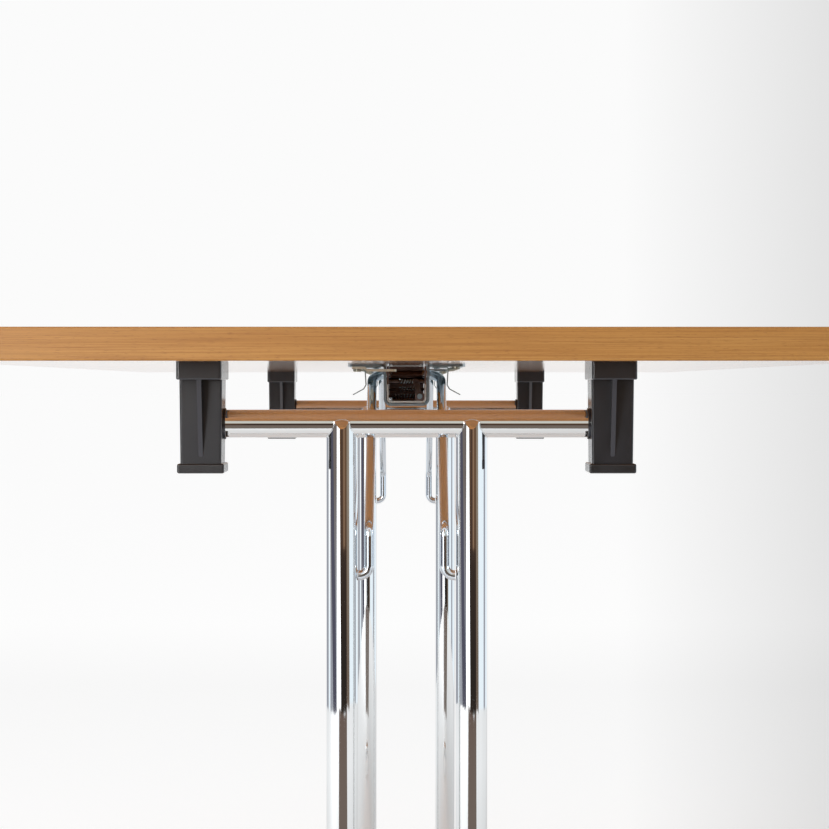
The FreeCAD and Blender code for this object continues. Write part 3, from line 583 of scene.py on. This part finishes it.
def reflected_sheet(name, low_line, high_line, low_tone, high_tone, axis, fade, strength):
    """A glowing strip between two lines of places, which only glossy faces see.

    Its colour changes from the low to the high tone along one axis, over the fade.
    """
    count = len(low_line)
    mesh = bpy.data.meshes.new(name)
    mesh.from_pydata(low_line + high_line, [],
                     [(number, number + 1, count + number + 1, count + number)
                      for number in range(count - 1)])
    sheet = new_object(name, mesh)
    surface = Surface(name)
    tone = surface.mix(surface.between(surface.along(axis), *fade), low_tone, high_tone)
    surface.show(surface.add("ShaderNodeEmission", Color=tone, Strength=strength))
    mesh.materials.append(surface.material)
    sheet.visible_camera = False
    sheet.visible_diffuse = False
    sheet.visible_shadow = False
    sheet.visible_transmission = False
    sheet.visible_volume_scatter = False


def toward(angle, distance, height):
    """A place round the front axle; the angle is counted from the front to the right."""
    turn = math.radians(angle)
    return (distance * math.sin(turn), front_axle_y - distance * math.cos(turn), height)


# What stood round the photographer, as chrome shows it
white = rgb(252, 252, 253)
pale_blue = rgb(231, 240, 246)
grey = rgb(152, 154, 162)
navy = rgb(80, 79, 92)
taupe = rgb(110, 101, 97)
tan = rgb(137, 109, 87)
brown = rgb(101, 77, 59)
dark_brown = rgb(62, 48, 41)
near_black = rgb(42, 37, 33)
olive = rgb(140, 127, 112)
dark_olive = rgb(108, 94, 82)
putty = rgb(196, 195, 186)
wood_shine = rgb(176, 120, 74)
floor_near = rgb(112, 102, 94)
floor_far = rgb(104, 88, 80)

full = (0, window_height)
wall = (0, wall_height)

# Name, layer, heights, edges at the bottom and at the top in degrees, tones low and high,
# and where they differ from most boards, the heights of the fade and the strength.
# A board in a higher layer stands in front of those in the lower ones.
boards = (
    ("left_wall", 0, full, (-150, -112), (-150, -112), grey, grey),
    ("door_frame", 0, full, (-112, -86), (-112, -86), pale_blue, white),
    ("back_wall", 1, full, (-92, -40), (-92, -40), grey, taupe),
    ("curtain", 2, wall, (-65, -40), (-97, -71), navy, navy),
    ("olive_wall", 1, wall, (30, 54), (34, 51), dark_olive, olive),
    ("room_wall", 2, wall, (-8, 37), (-21, 37), dark_brown, brown),
    ("dark_corner", 3, (corner_height, wall_height), (-6, 3), (-6, 3), dark_brown, dark_brown),
    ("tan_door", 3, (bench_height, wall_height), (11, 19), (11, 19), tan, tan),
    ("dark_bench", 4, (0, bench_height), (-8, 33), (-14, 33), near_black, dark_brown),
    ("right_wall", 0, full, (51, 97), (51, 97), pale_blue, pale_blue),
    ("right_gap", 0, full, (97, 117), (97, 117), grey, grey),
    ("right_side", 0, full, (117, 150), (117, 150), pale_blue, pale_blue),
    ("room_wall_top", 2, (wall_height, room_top_height), (-22, 51), (-22, 51), tan, putty,
     wall_fade),
    ("bright_window", 0, full, (-40, 0), (-40, 0), white, white, board_fade, window_strength),
    ("wood_lintel", 2, lintel_heights, (-12, 12), (-12, 12), wood_shine, wood_shine),
)


def upright_board(name, layer, heights, low_edges, high_edges, low_tone, high_tone,
                  fade=board_fade, strength=board_strength):
    """A board bent round the object, standing room_depth or a little less from its axle."""
    distance = room_depth - layer * board_gap
    lines = []
    for (left, right), height in zip((low_edges, high_edges), heights):
        lines.append([toward(left + (right - left) * step / board_steps, distance, height)
                      for step in range(board_steps + 1)])
    reflected_sheet(name, *lines, low_tone, high_tone, "Z", fade, strength)


def room_floor():
    """The floor between the object and the boards in front of it."""
    near_line = [toward(angle, room_near, room_lift) for angle in room_near_angles]
    far_line = [toward(angle, room_depth, room_lift) for angle in room_far_angles]
    fade = (near_line[1][1], far_line[1][1])
    reflected_sheet("room_floor", near_line, far_line, floor_near, floor_far, "Y", fade,
                    board_strength)


# Name, place, height of the point on the axle that it lights, width, power in watts, and
# whether glossy faces show it
lamps = (
    ("window_left", (-3.0, -2.6, 1.9), 0.6, 2.0, 45, False),
    ("lamp_left", (-0.75, -2.2, 0.9), 0.65, 0.5, 9.5, True),
)


def soft_light(name, place, target_height, width, power, reflected):
    data = bpy.data.lights.new(name, "AREA")
    data.shape = "DISK"
    data.size = width
    data.energy = power
    light = new_object(name, data)
    light.location = place
    light.rotation_mode = "QUATERNION"
    toward_axle = Vector((0, front_axle_y, target_height)) - Vector(place)
    light.rotation_quaternion = toward_axle.to_track_quat("-Z", "Y")
    light.visible_glossy = reflected
    light.visible_camera = False


def photo_camera():
    data = bpy.data.cameras.new("camera")
    data.lens = camera_lens
    data.clip_start = camera_nearest
    data.clip_end = camera_furthest
    camera = new_object("camera", data)
    camera.location = camera_place
    camera.rotation_euler = (math.pi / 2 - camera_pitch_down, 0, -camera_yaw_right)
    bpy.context.scene.camera = camera


pale_floor()
white_surround()
for board in boards:
    upright_board(*board)
room_floor()
for lamp in lamps:
    soft_light(*lamp)
photo_camera()
bpy.context.scene.view_settings.view_transform = "Standard"
